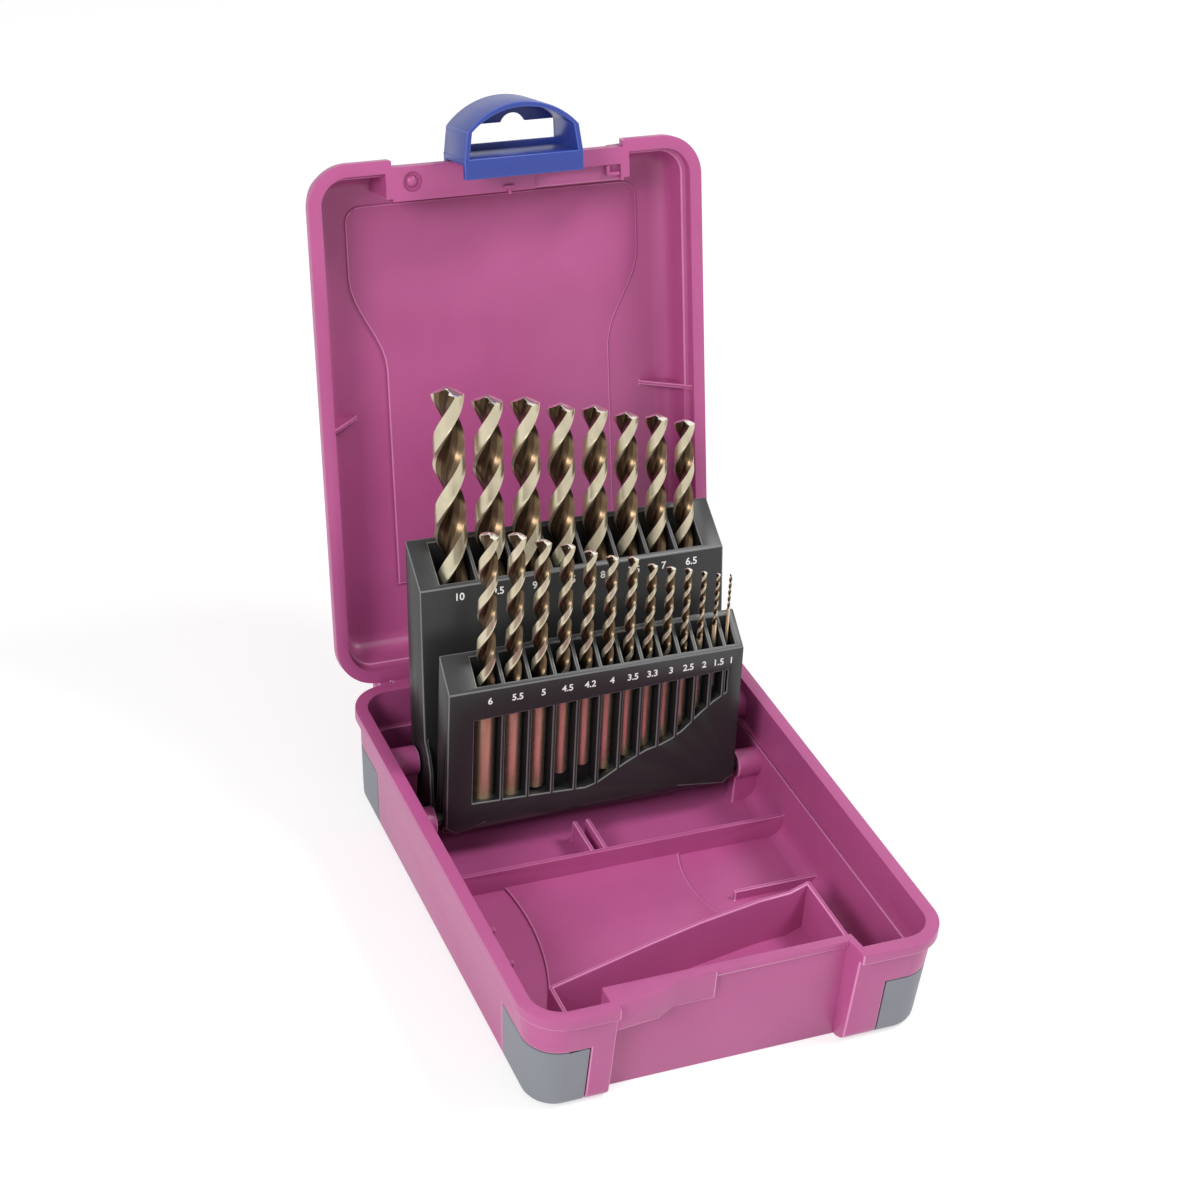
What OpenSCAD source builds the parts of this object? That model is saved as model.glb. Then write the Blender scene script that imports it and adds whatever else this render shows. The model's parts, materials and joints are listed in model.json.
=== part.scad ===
// Drill bit case: a hinged box with a sliding latch, and two racks that fold down inside it.
// X runs to the right, Y to the hinge side, Z up. The origin is the middle of the base's underside.
// Everything is drawn with the lid open and both racks raised.

/* [Case] */
// Width of the case
case_w = 130; // [126:1:140]
// Length of the case, from the latch side to the hinge side
case_l = 166.5; // [164:0.5:176]
// Height of the base up to the parting line
base_h = 35.5; // [34:0.5:42]
// Depth of the lid above the parting line
lid_d = 20; // [18:0.5:28]
// Radius of the upright corners
corner_r = 13; // [10:0.5:18]
// Gap between the two rims when the case is shut
parting_gap = 0.3; // [0.2:0.1:0.8]

/* [Shell walls] */
// Thickness of the moulded walls
wall = 2; // [1.6:0.1:2.4]
// Thickness of the floor and of the lid's top
floor_t = 2.8; // [2:0.1:3.4]
// Width of the rim, from its outer edge to the inside
rim_w = 4; // [3.8:0.1:5]
// Height of the rim band
rim_h = 3.6; // [2.5:0.1:5]
// How far the walls stand back under the rim
rim_step = 1.6; // [1:0.1:1.8]
// How far the walls draw in towards the underside and the lid's top
draft = 1.8; // [1:0.1:2]
// Rounding of the base's lower edge
base_round = 4; // [2:0.5:5]
// Rounding of the lid's upper edge
lid_round = 7; // [5:0.5:9]

/* [Corner bumpers] */
// Height of the bumpers
bumper_h = 21.4; // [16:0.1:24]
// Length of a bumper along the front and back
bumper_front = 19; // [14:0.5:22]
// Length of a bumper along the sides
bumper_side = 27; // [20:0.5:34]
// Thickness of a bumper
bumper_t = 1.3; // [1:0.1:1.6]
// Wall left behind a bumper
bumper_back = 1.1; // [0.8:0.1:1.6]
// Joint line left round a bumper
bumper_gap = 0.4; // [0.2:0.1:0.8]

/* [Front recess and lip] */
// Left end of the recess in the front wall
recess_left = -38.5; // [-41:0.5:-37]
// Right end of the recess at its back
recess_right = 34.4; // [32:0.2:38]
// How far the recess's right end slants outwards to the front
recess_slant = 1.4; // [0:0.1:3]
// Depth of the recess in the front wall of the base
recess_d = 8.2; // [7:0.1:10]
// Right end of the lip
lip_right = -7; // [-14:0.5:-4]
// Height of the lip
lip_h = 9.6; // [8:0.1:12]
// Length of the ramp from the lip's thick end to its slim end
lip_ramp = 5.5; // [3:0.5:9]
// Height of the thin lip along the rest of the recess
thin_lip_h = 2.4; // [1.6:0.1:4]
// How far the thin lip stands out
thin_lip_t = 0.8; // [0.4:0.1:1.4]

/* [Inside the base] */
// Height above the floor of the cross divider and the two short ribs
divider_h = 7.8; // [6:0.1:9]
// Distance of the cross divider behind the middle of the case
divider_y = 12.8; // [8:0.1:16]
// Height above the floor of the front pocket's wall
pocket_h = 16.4; // [10:0.1:18]
// Thickness of the dividers and ribs
rib_t = 1.4; // [1:0.1:2]
// Height of the low rib on the right
low_rib_h = 3; // [2:0.1:5]
// Height of the two ribs on the left
wall_rib_h = 7; // [5:0.1:8]
// Height of the ledge in the inner side walls above the bumpers' tops
ledge_rise = 0.9; // [0.7:0.1:2]
// Height of the raised panels on the floor and on the lid's inside
panel_h = 0.8; // [0.4:0.1:1.4]

/* [Lid details] */
// How far the lid opens
lid_open = 105; // [95:1:110]
// Distance of the lid's stiffening plates from its front edge
plate_from_front = 83; // [60:1:100]
// Reach of the stiffening plates in from the rim's inner edge
plate_reach = 12.6; // [6:0.1:13]
// Depth of the latch rail, from the lid's front edge to its inner edge
rail_d = 12.8; // [12:0.1:14]
// Thickness of the latch rail
rail_t = 5; // [4:0.1:5.4]
// Half the width of the recess that the latch slides in
rail_half = 38.2; // [36:0.2:42]
// Depth that stays of the latch rail beside the step at its right end
rail_slim_d = 7.6; // [7:0.1:9]
// Depth of that step in the rail's underside
rail_step_t = 1.6; // [0.8:0.1:2]
// Depth of the recess above the latch rail
rail_recess_d = 9.9; // [9:0.1:10.6]

/* [Hinge] */
// Distance of the hinge axis behind the base's rear edge
hinge_back = 1.4; // [1.2:0.1:3]
// Distance of the hinge axis below the parting line
hinge_drop = 3.2; // [2.5:0.1:4]
// Radius of the hinge knuckles
knuckle_r = 2.7; // [2.2:0.1:3.2]
// Diameter of the hinge pins
hinge_pin_d = 2; // [1.5:0.1:2.4]
// Distance of each hinge from the middle of the case
hinge_x = 44; // [20:0.5:46]
// Width of the base's knuckle
base_knuckle_w = 9; // [5:0.5:11]
// Width of each of the lid's knuckles
lid_knuckle_w = 4; // [3:0.5:5]
// Gap beside and round the knuckles
knuckle_gap = 0.4; // [0.3:0.1:0.8]

/* [Latch] */
// Width of the latch
latch_w = 38.8; // [30:0.2:42]
// Place of the latch's middle with the case open
latch_x = 0.5; // [0:0.5:6]
// Travel of the latch from there to the locked end
lock_travel = 14; // [8:0.5:18]
// Travel of the latch to the other end
free_travel = 4; // [1:0.5:8]
// Thickness of the latch's front wall, its jaw and its arm
latch_arm = 2; // [1.6:0.1:2.4]
// Reach of the jaw behind the lid's front edge
jaw_reach = 6.2; // [4:0.1:6.8]
// How far the hanging loop stands out from the lid's front edge
loop_reach = 16.2; // [13:0.2:22]
// Reach of the loop's shoulders, where its arch starts
loop_shoulder = 8; // [7.8:0.1:10]
// How far the loop narrows on each side up to its shoulders
loop_taper = 1.2; // [0.4:0.1:2.4]
// Thickness of the loop's walls
loop_t = 1.7; // [1.4:0.1:2.2]
// Height of the sill below the window in the loop's back
loop_sill = 1.7; // [1:0.1:2]
// Reach of the window's upper edge
loop_head = 7.7; // [7.4:0.1:9]
// Radius of the notch for a hook
notch_r = 4.3; // [3:0.1:4.3]
// Depth of the notch above the window
notch_d = 2.7; // [1.5:0.1:3.2]
// Distance of the notch to the right of the latch's middle
notch_x = 3.2; // [-4:0.1:4]
// Clearance of the latch on its rail and under the lip
latch_gap = 0.3; // [0.2:0.05:0.5]

/* [Racks] */
// Distance of the rear rack's pivot behind the middle of the case
rear_pivot_y = 52.7; // [50:0.1:56]
// Height of the rear rack's pivot above the underside
rear_pivot_z = 27.2; // [26.5:0.1:29]
// Lean of the rear rack behind upright
rear_lean = 11; // [8:0.5:13]
// Thickness of the rear rack
rear_t = 13; // [12.6:0.1:14]
// Height of the rear rack's front edge above its pivot
rear_edge = 58.5; // [54:0.5:64]
// Distance of the front rack's pivot behind the middle of the case
front_pivot_y = 34.9; // [33:0.1:36]
// Height of the front rack's pivot above the underside
front_pivot_z = 16.4; // [16:0.1:18]
// Lean of the front rack behind upright
front_lean = 4; // [2:0.5:6]
// Thickness of the front rack
front_t = 9.5; // [8.6:0.1:10]
// Height of the front rack's front edge above its pivot
front_edge = 47; // [44:0.5:52]
// Slope of the racks' tops
top_slope = 43; // [35:1:48]
// Thickness of the racks' walls
rack_wall = 1.2; // [1:0.1:1.6]
// Thickness of the thin fins between the slots
fin_t = 1.2; // [1:0.1:1.6]
// Depth of the open slots below the racks' front edges
slot_d = 8; // [5:0.5:9]
// Thickness of the webs between the bits of the rear row
rear_web = 2.8; // [2:0.1:3]
// Thickness of the webs between the bits of the front row
front_web = 3.15; // [2.4:0.05:3.3]
// Solid width at each end of the rear rack
rear_end = 7.6; // [6:0.1:9]
// Shift of the front row to the right of the middle
front_shift = 3.4; // [0:0.1:4]
// Thickness of the rear rack's cheeks
cheek_t = 1.2; // [1:0.1:1.6]
// Diameter of the racks' pivot pins
pivot_d = 4; // [3:0.1:5]
// Radius of the bosses that hold the pivot pins
boss_r = 4.6; // [4:0.1:5]

/* [Fits] */
// Clearance round a turning pin, on the radius
pin_play = 0.06; // [0.03:0.01:0.1]
// Clearance of a pin in the piece that grips it, on the radius
grip_play = 0.02; // [0.01:0.01:0.04]
// Clearance round a bit in its pocket, on the radius
bit_play = 0.1; // [0.05:0.01:0.2]
// Gap at the end of a pin in its blind bore
pin_end_gap = 0.4; // [0.3:0.1:0.8]
// Gap between a rack and the bosses beside it
side_gap = 0.8; // [0.4:0.1:1.2]
// Gap between the front rack and the rear rack's cheeks
cheek_gap = 0.4; // [0.3:0.1:0.8]

/* [Bits] */
// Helix angle of the flutes
helix = 35; // [24:1:38]
// Point angle of the bits
point_angle = 130; // [118:1:140]
// Thickness of a bit's core as a share of its diameter
core_share = 0.26; // [0.18:0.01:0.34]
// Angle that each land covers round the bit
land_angle = 64; // [50:1:80]
// Angle at which the first land starts at the point, to the left of the right-hand side
tip_phase = -62; // [-180:1:180]

/* [Hidden] */
// Each bit has its diameter, overall length, flute length and depth below the rack's front edge
REAR_BITS = [
    [10.0, 133, 87, 71.5], [9.5, 125, 81, 67.5], [9.0, 125, 81, 69.5], [8.5, 117, 75, 65],
    [8.0, 117, 75, 67], [7.5, 109, 69, 62.5], [7.0, 109, 69, 64.5], [6.5, 101, 63, 59.5]
];
FRONT_BITS = [
    [6.0, 93, 57, 42], [5.5, 93, 57, 43.5], [5.0, 86, 52, 40], [4.5, 80, 47, 36.5],
    [4.2, 75, 43, 35], [4.0, 75, 43, 38], [3.5, 70, 39, 34.5], [3.3, 65, 36, 33],
    [3.0, 61, 33, 31], [2.5, 57, 30, 28.5], [2.0, 49, 24, 22.5], [1.5, 40, 18, 15],
    [1.0, 34, 12, 10]
];
first_bit = 15;

EPS = 0.01;
// Small depth by which pieces of one moulding run into each other
JOIN = 0.5;

half_w = case_w / 2;
half_l = case_l / 2;
front_y = -half_l;
lid_z = base_h + parting_gap;
lid_top = lid_z + lid_d;
rim_z = base_h - rim_h;

// Inside of the base, below its ledge and above it
ledge_z = bumper_h + ledge_rise;
lower_inset = rim_step + draft + bumper_t + bumper_back;
wall_x = half_w - lower_inset;
floor_round = 5;
// Pocket wall in plan: from the left, over the slanted stretch, to the right end
POCKET = [[-46, -51.4], [-29, -46.8], [-11, -42], [6.6, -37.7], [28, -33.8], [38.4, -33], [45.8, -30.4]];
pocket_left = POCKET[0];
pocket_right = POCKET[len(POCKET) - 1];
// The two short ribs behind the divider
SHORT_RIBS = [-6.2, -1.8];
short_rib_l = 16;
// Ribs at the side walls: side, distance behind the middle, length, height
WALL_RIBS = [[-1, -12, 12, wall_rib_h], [-1, -27.5, 12, wall_rib_h], [1, -13, 29, low_rib_h]];
// Raised floor panel: its ends, its reach from the divider, and two arcs, each [x, y, radius]
PANEL_ENDS = [-42, 29];
panel_reach = 52;
PANEL_ARCS = [[-128, -3.9, 94], [61.5, -3, 41.3]];

// Raised panel in the lid: two half-widths, where it narrows and where it ends from the front
lid_panel_wide = 49;
lid_panel_slim = 38;
lid_panel_front = 16;
lid_panel_corner = 5;
lid_panel_bend = 37.9;
lid_panel_bend_l = 31;
lid_panel_end = 140;

hinge_y = half_l + hinge_back;
hinge_z = base_h - hinge_drop;

recess_y = front_y + recess_d;
rail_recess_y = front_y + rail_recess_d;
thin_lip_y = recess_y - thin_lip_t;
lip_z = base_h - lip_h;
rail_y = front_y + latch_arm + latch_gap;
lip_y = rail_y;
// The lip is thick only to the left of the open latch, so that the jaw can pass beside it
thick_right = latch_x - latch_w / 2 - 2 * latch_gap;
slim_lip_y = front_y + jaw_reach + 1.5 * latch_gap;
// How far the thick end's face slants back up to the ramp
lip_slant = 1.3;
// Where the step in the rail's underside starts
rail_slim_x = 8;

// Tongue and hook that hold the latch on its rail, measured from the rail's front edge
tongue_w = 20;
tongue_d = 1.8;
tongue_t = 1.2;
tongue_z = 1;
hook_y = 3.4;
hook_d = 1.2;
hook_t = 1.8;
arm_reach = hook_y + hook_t + 1.2;
lock_x = latch_x - lock_travel;

rear_w = row_width(REAR_BITS, rear_web) + 2 * rear_end;
front_w = rear_w - 2 * (cheek_t + cheek_gap);
rear_face = rear_t / 2;
front_face = front_t / 2 + 0.5;
// Lower ends of the racks, measured from their pivots
rear_base = -22;
front_base = -4.2;
// Cheek in side view: reach before the rack's face, lower chamfer and upper slope
cheek_reach = 4.4;
cheek_chamfer = 4.5;
CHEEK_TOP = [0, 5, 9];
// Window of the front rack: its sill from the left to the right, and its upper corners
WINDOW_SILL = [
    [-40.4, 7], [-20, 6.2], [-3, 5.4], [1, 6.4], [5, 8.7], [11.3, 12.4], [17.6, 15.3], [22, 16.2],
    [26, 17.8], [29.8, 20.3], [35.3, 25.4], [39.7, 28.9], [44, 31.4]
];
WINDOW_TOP = [[44, 39.4], [-40.4, 36.6]];
// Floor under each bit, and the top of the trough in the rear rack's underside
seat_t = 1.5;
trough_z = rear_edge - REAR_BITS[0][3] - seat_t;

// Bevel of a bit's shank end as a share of its radius, and the steps of its point towards the tip
shank_bevel = 0.12;
TIP_STEPS = [0.7, 0.4, 0.15];
// Share of a flute's depth at its first ring, and the helix's turn between two rings
RUN_OUT = 0.7;
RING_TURN = 40;

boss_x = rear_w / 2 + side_gap;
post_half = 2.2;
// Depth of the pivot pins in the racks and in the bosses
pin_in = 6.5;
pin_out = 5;
PIVOTS = [[rear_pivot_y, rear_pivot_z], [front_pivot_y, front_pivot_z]];

// Gap between the lid's knuckle arms and the base's rear wall
arm_gap = 0.2;

pink = [0.70, 0.30, 0.50];
grey = [0.45, 0.48, 0.52];
blue = [0.22, 0.32, 0.66];
black = [0.10, 0.10, 0.11];
steel = [0.75, 0.76, 0.78];
bronze = [0.62, 0.50, 0.36];

// Distance of the middle of bit n from the middle of a row's first bit
function bit_x(row, web, n) =
    n == 0 ? 0 : bit_x(row, web, n - 1) + (row[n - 1][0] + row[n][0]) / 2 + web;
function row_width(row, web) =
    bit_x(row, web, len(row) - 1) + (row[0][0] + row[len(row) - 1][0]) / 2;
// Place of bit n when the row is centred
function place_x(row, web, n) = bit_x(row, web, n) + row[0][0] / 2 - row_width(row, web) / 2;
// Quarter arc from [inset + r, z] to [inset, z + r * up]
function quarter(inset, z, r, up, steps = 6) =
    [for (i = [0:steps]) [inset + r * (1 - sin(90 * i / steps)), z + up * r * (1 - cos(90 * i / steps))]];
function backwards(list) = [for (i = [len(list) - 1:-1:0]) list[i]];
function mirrored(list) = [for (p = backwards(list)) [-p[0], p[1]]];

// Rounded block whose side follows the points [inset, height], listed upwards
module tray(profile, w = case_w, l = case_l, r = corner_r) {
    low = profile[0][1];
    high = profile[len(profile) - 1][1];
    for (sx = [-1, 1], sy = [-1, 1])
        translate([sx * (w / 2 - r), sy * (l / 2 - r), 0])
            rotate_extrude($fn = 72)
                polygon(concat([[0, low]], [for (p = profile) [r - p[0], p[1]]], [[0, high]]));
    rotate([90, 0, 0])
        linear_extrude(l - 2 * r, center = true)
            sides(profile, w / 2);
    rotate([90, 0, 90])
        linear_extrude(w - 2 * r, center = true)
            sides(profile, l / 2);
}

module sides(profile, half) {
    right = [for (p = profile) [half - p[0], p[1]]];
    polygon(concat(right, mirrored(right)));
}

module box(low, high) {
    translate(low) cube(high - low);
}

// Round bar along X
module bar(x0, x1, y, z, r) {
    translate([x0, y, z]) rotate([0, 90, 0]) cylinder(h = x1 - x0, r = r, $fn = 48);
}

// Turn about the hinge: draws a shut lid's pieces where the open lid holds them
module opened() {
    translate([0, hinge_y, hinge_z])
        rotate([-lid_open, 0, 0])
            translate([0, -hinge_y, -hinge_z])
                children();
}

// Side of the base, from its rounded lower edge up to the rim
function base_profile(extra) = concat(
    quarter(rim_step + draft + extra, 0, base_round, 1),
    [[rim_step + extra, rim_z]]
);

module base_outside() {
    tray(concat(base_profile(0), [[0, rim_z], [0, base_h]]));
}

// Zone of the bumper at one corner, grown by the joint line
module bumper_zone(sx, sy, grow) {
    x = half_w - bumper_front - grow;
    y = half_l - bumper_side - grow;
    span_x = half_w + 1 - x;
    span_y = half_l + 1 - y;
    translate([sx > 0 ? x : -x - span_x, sy > 0 ? y : -y - span_y, -1])
        cube([span_x, span_y, bumper_h + grow + 1]);
}

module bumper(sx, sy) {
    color(grey)
        difference() {
            intersection() {
                tray(base_profile(0));
                bumper_zone(sx, sy, 0);
            }
            translate([0, 0, -EPS]) tray(base_profile(bumper_t));
        }
}

// Recess for the latch in plan, grown all round
module recess_plan(grow) {
    polygon([[recess_left - grow, front_y - 1], [recess_right + recess_slant + grow, front_y - 1],
        [recess_right + grow, recess_y + grow], [recess_left - grow, recess_y + grow]]);
}

module base_cavity() {
    difference() {
        tray(concat(
            quarter(lower_inset, floor_t, floor_round, 1),
            [[lower_inset, ledge_z], [rim_w, ledge_z], [rim_w, base_h + 1]]
        ));
        linear_extrude(base_h + 2) recess_plan(wall);
    }
}

// Wall that follows the points in plan
module strip(points, t, h) {
    linear_extrude(h)
        polygon(concat(
            [for (p = points) [p[0], p[1] + t / 2]],
            [for (p = backwards(points)) [p[0], p[1] - t / 2]]
        ));
}

module base_dividers() {
    z = floor_t - JOIN;
    half = rib_t / 2;
    box([-wall_x - JOIN, divider_y - half, z], [wall_x + JOIN, divider_y + half, floor_t + divider_h]);
    for (x = SHORT_RIBS)
        box([x - half, divider_y, z], [x + half, divider_y + short_rib_l, floor_t + divider_h]);
    for (rib = WALL_RIBS)
        translate([rib[0] * (wall_x - rib[2] / 2 + JOIN), rib[1], z + (rib[3] + JOIN) / 2])
            cube([rib[2], rib_t, rib[3] + JOIN], center = true);
}

// Pocket behind the front wall
module front_pocket() {
    z = floor_t - JOIN;
    half = rib_t / 2;
    translate([0, 0, z]) strip(POCKET, rib_t, pocket_h + JOIN);
    for (p = [pocket_left, pocket_right])
        box([p[0] - half, front_y + lower_inset - JOIN, z], [p[0] + half, p[1] + half, floor_t + pocket_h]);
}

// Raised floor panel between the divider, the pocket and two arcs
module floor_panel() {
    z = floor_t - JOIN;
    difference() {
        box([PANEL_ENDS[0], divider_y - panel_reach, z], [PANEL_ENDS[1], divider_y, floor_t + panel_h]);
        for (arc = PANEL_ARCS)
            translate([arc[0], arc[1], z - EPS]) cylinder(h = panel_h + 1, r = arc[2], $fn = 96);
        translate([0, 0, z - EPS])
            linear_extrude(panel_h + 1)
                polygon(concat(POCKET, [[half_w, pocket_right[1]], [half_w, front_y], [-half_w, front_y],
                    [-half_w, pocket_left[1]]]));
    }
}

// Bosses on posts for the racks' pivot pins
module pivot_bosses() {
    root = half_w - rim_w + JOIN;
    for (s = [-1, 1], p = PIVOTS) {
        bar(s > 0 ? boss_x : -root, s > 0 ? root : -boss_x, p[0], p[1], boss_r);
        box([s > 0 ? boss_x : -wall_x - JOIN, p[0] - post_half, floor_t - JOIN],
            [s > 0 ? wall_x + JOIN : -boss_x, p[0] + post_half, p[1]]);
    }
}

module pivot_bores() {
    deep = pin_out + pin_end_gap;
    for (s = [-1, 1], p = PIVOTS) {
        x0 = s > 0 ? boss_x - 1 : -boss_x - deep;
        bar(x0, x0 + deep + 1, p[0], p[1], pivot_d / 2 + pin_play);
    }
}

// Lip that the latch hooks under, slimmer beside the open latch, and the thin lip to its right
module lips() {
    back = recess_y + wall;
    translate([0, 0, lip_z])
        linear_extrude(lip_h)
            polygon([[recess_left - EPS, back], [recess_left - EPS, lip_y],
                [thick_right - lip_ramp, lip_y + lip_slant], [thick_right, slim_lip_y],
                [lip_right, slim_lip_y], [lip_right, back]]);
    box([lip_right - EPS, thin_lip_y, base_h - thin_lip_h], [recess_right + EPS, back, base_h]);
}

module knuckle_base(x) {
    x0 = x - base_knuckle_w / 2;
    x1 = x + base_knuckle_w / 2;
    bar(x0, x1, hinge_y, hinge_z, knuckle_r);
    box([x0, half_l - rim_step - 1, hinge_z - knuckle_r], [x1, hinge_y, hinge_z + knuckle_r]);
}

// Room in the base for the lid's knuckles, and the bore for the pin
module hinge_cuts(x) {
    reach = base_knuckle_w / 2;
    room = lid_knuckle_w + 2 * knuckle_gap;
    for (s = [-1, 1]) {
        x0 = s > 0 ? x + reach : x - reach - room;
        bar(x0, x0 + room, hinge_y, hinge_z, knuckle_r + knuckle_gap);
    }
    bar(x - 2 * reach, x + 2 * reach, hinge_y, hinge_z, hinge_pin_d / 2 + grip_play);
}

module base_shell() {
    color(pink)
        difference() {
            union() {
                difference() {
                    union() {
                        difference() {
                            base_outside();
                            for (sx = [-1, 1], sy = [-1, 1]) bumper_zone(sx, sy, bumper_gap);
                        }
                        tray(base_profile(bumper_t));
                    }
                    base_cavity();
                    translate([0, 0, -1]) linear_extrude(base_h + 2) recess_plan(0);
                }
                lips();
                base_dividers();
                front_pocket();
                floor_panel();
                pivot_bosses();
                for (s = [-1, 1])
                    knuckle_base(s * hinge_x);
            }
            pivot_bores();
            for (s = [-1, 1])
                hinge_cuts(s * hinge_x);
        }
}

module hinge_pin(x) {
    reach = base_knuckle_w / 2 + lid_knuckle_w;
    color(steel) bar(x - reach, x + reach, hinge_y, hinge_z, hinge_pin_d / 2);
}

module lid_knuckles(x) {
    reach = base_knuckle_w / 2 + knuckle_gap;
    for (s = [-1, 1]) {
        x0 = s > 0 ? x + reach : x - reach - lid_knuckle_w;
        x1 = x0 + lid_knuckle_w;
        bar(x0, x1, hinge_y, hinge_z, knuckle_r);
        box([x0, half_l + arm_gap, hinge_z], [x1, hinge_y + knuckle_r, lid_z + rim_h]);
        box([x0, half_l - 1, lid_z], [x1, half_l + arm_gap + JOIN, lid_z + rim_h]);
    }
}

module lid_outside() {
    up = quarter(rim_step + draft, lid_top, lid_round, -1);
    tray(concat([[0, lid_z], [0, lid_z + rim_h], [rim_step, lid_z + rim_h]], backwards(up)));
}

module lid_cavity() {
    inner = rim_step + draft + wall;
    up = quarter(inner, lid_top - floor_t, lid_round - 1, -1);
    difference() {
        tray(concat([[rim_w, lid_z - 1], [rim_w, lid_z + rim_h], [inner, lid_z + rim_h + 0.6]],
            backwards(up)));
        box([-rail_half - wall, front_y, lid_z - 2], [rail_half + wall, rail_recess_y + wall, lid_top]);
    }
}

// Panel raised on the inside of the lid's top, narrower towards the hinge
module lid_panel() {
    steps = 8;
    half_change = (lid_panel_wide - lid_panel_slim) / 2;
    bend = [for (i = [0:steps])
        [lid_panel_wide - half_change * (1 - cos(180 * i / steps)),
            lid_panel_bend + lid_panel_bend_l * i / steps]];
    corner = [for (p = quarter(0, 0, lid_panel_corner, 1)) [lid_panel_wide - p[0], lid_panel_front + p[1]]];
    right = concat(corner, bend, [[lid_panel_slim, lid_panel_end]]);
    translate([0, front_y, lid_top - floor_t - panel_h])
        linear_extrude(panel_h + JOIN)
            polygon(concat(right, mirrored(right)));
}

// Stiffening plate: a triangle in the corner of the lid's side wall and its top.
// Its own corner is cut off, so that it ends inside the lid's round edge.
module lid_plate(s) {
    top = lid_top - floor_t + JOIN;
    wall_in = half_w - rim_w + JOIN;
    tip = half_w - rim_w - plate_reach;
    cut = lid_round / 2 + 1;
    plate = [[wall_in, lid_z + 1], [tip, top], [wall_in - cut, top], [wall_in, top - cut]];
    translate([0, front_y + plate_from_front + rib_t / 2, 0])
        rotate([90, 0, 0])
            linear_extrude(rib_t)
                polygon([for (p = plate) [s * p[0], p[1]]]);
}

// Grooves in the rail for the latch's tongue and hook, and the step in its underside
module rail_grooves() {
    g = latch_gap;
    x0 = lock_x - tongue_w / 2 - g;
    x1 = latch_x + free_travel + tongue_w / 2 + g;
    z = lid_z + tongue_z;
    top = lid_z + rail_t;
    box([x0, rail_y - 1, z - g], [x1, rail_y + tongue_d + g, z + tongue_t + g]);
    box([x0, rail_y + hook_y - g, top - hook_d - g], [x1, rail_y + hook_y + hook_t + g, top + 1]);
    box([rail_slim_x, front_y + rail_slim_d, lid_z - 1],
        [rail_half - 1, front_y + rail_d + 1, lid_z + rail_step_t]);
}

module lid_shell() {
    top = lid_z + rail_t;
    bore = base_knuckle_w / 2 + knuckle_gap + lid_knuckle_w + 1;
    color(pink)
        opened()
            difference() {
                union() {
                    difference() {
                        lid_outside();
                        lid_cavity();
                        box([-rail_half, front_y - 1, top], [rail_half, rail_recess_y, lid_top + 1]);
                        box([-rail_half, front_y - 1, lid_z - 1], [rail_half, rail_y, lid_top + 1]);
                    }
                    box([-rail_half - EPS, rail_recess_y - 1, lid_z],
                        [rail_half + EPS, front_y + rail_d, top]);
                    lid_panel();
                    for (s = [-1, 1]) {
                        lid_plate(s);
                        lid_knuckles(s * hinge_x);
                    }
                }
                rail_grooves();
                for (s = [-1, 1])
                    bar(s * hinge_x - bore, s * hinge_x + bore, hinge_y, hinge_z, hinge_pin_d / 2 + pin_play);
            }
}

// Outline of the hanging loop, drawn in by t: tapered sides and an arch
function loop_arch(t, root, steps = 24) =
    let (half = latch_w / 2 - t, reach = loop_reach - t, chord = half - loop_taper,
        rise = reach - loop_shoulder, r = (chord * chord + rise * rise) / (2 * rise), a = asin(chord / r))
    concat([[-half, root]],
        [for (i = [0:steps]) let (b = a * (2 * i / steps - 1)) [r * sin(b), r - reach - r * cos(b)]],
        [[half, root]]);

// Hood of the loop, open to the base's side, with a window and a notch for a hook in its back
module loop(low, high) {
    side = latch_w / 2 - loop_t - JOIN;
    back = high - loop_t;
    translate([0, front_y, 0])
        difference() {
            translate([0, 0, low]) linear_extrude(high - low) polygon(loop_arch(0, JOIN));
            translate([0, 0, low - 1]) linear_extrude(back - low + 1) polygon(loop_arch(loop_t, 0));
            box([-side, -loop_head, back - 1], [side, -loop_sill, high + 1]);
            translate([notch_x, notch_r - notch_d - loop_head, back - 1])
                cylinder(h = loop_t + 2, r = notch_r, $fn = 48);
        }
}

module latch() {
    wall_in = front_y + latch_arm;
    low = lip_z - latch_gap - latch_arm;
    rail_top = lid_z + rail_t;
    high = rail_top + latch_gap + latch_arm;
    w = latch_w / 2;
    tw = tongue_w / 2;
    z = lid_z + tongue_z;
    hook = rail_y + hook_y;
    color(blue)
        opened()
            translate([latch_x, 0, 0]) {
                box([-w, front_y, low], [w, wall_in, high]);
                // Jaw that slides under the thick end of the base's lip
                box([-w, front_y, low], [w, front_y + jaw_reach, low + latch_arm]);
                // Arm over the rail with its hook, and the tongue in the rail's front edge
                box([-w, front_y, high - latch_arm], [w, rail_y + arm_reach, high]);
                box([-tw, hook, rail_top - hook_d], [tw, hook + hook_t, high - EPS]);
                box([-tw, wall_in - EPS, z], [tw, rail_y + tongue_d, z + tongue_t]);
                loop(low, high);
            }
}

// Rack placed by its pivot and leant back
module leant(y, z, lean) {
    translate([0, y, z]) rotate([-lean, 0, 0]) children();
}

// Rack body: front face at -face, and pockets for a row of bits
module rack(row, web, shift, w, t, face, foot, edge) {
    back = t - face;
    top = edge + t * tan(top_slope);
    y0 = -face + rack_wall;
    y1 = back - rack_wall;
    difference() {
        rotate([90, 0, 90])
            linear_extrude(w, center = true)
                polygon([[-face, foot], [back, foot], [back, top], [-face, edge]]);
        for (i = [0:len(row) - 1]) {
            r = row[i][0] / 2;
            x = shift + place_x(row, web, i);
            seat = edge - row[i][3];
            half = r + (web - fin_t) / 2;
            translate([x, t / 2 - face, seat]) cylinder(h = top, r = r + bit_play, $fn = 40);
            box([x - half, y0, edge - slot_d], [x + half, y1, top + 1]);
        }
    }
}

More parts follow.
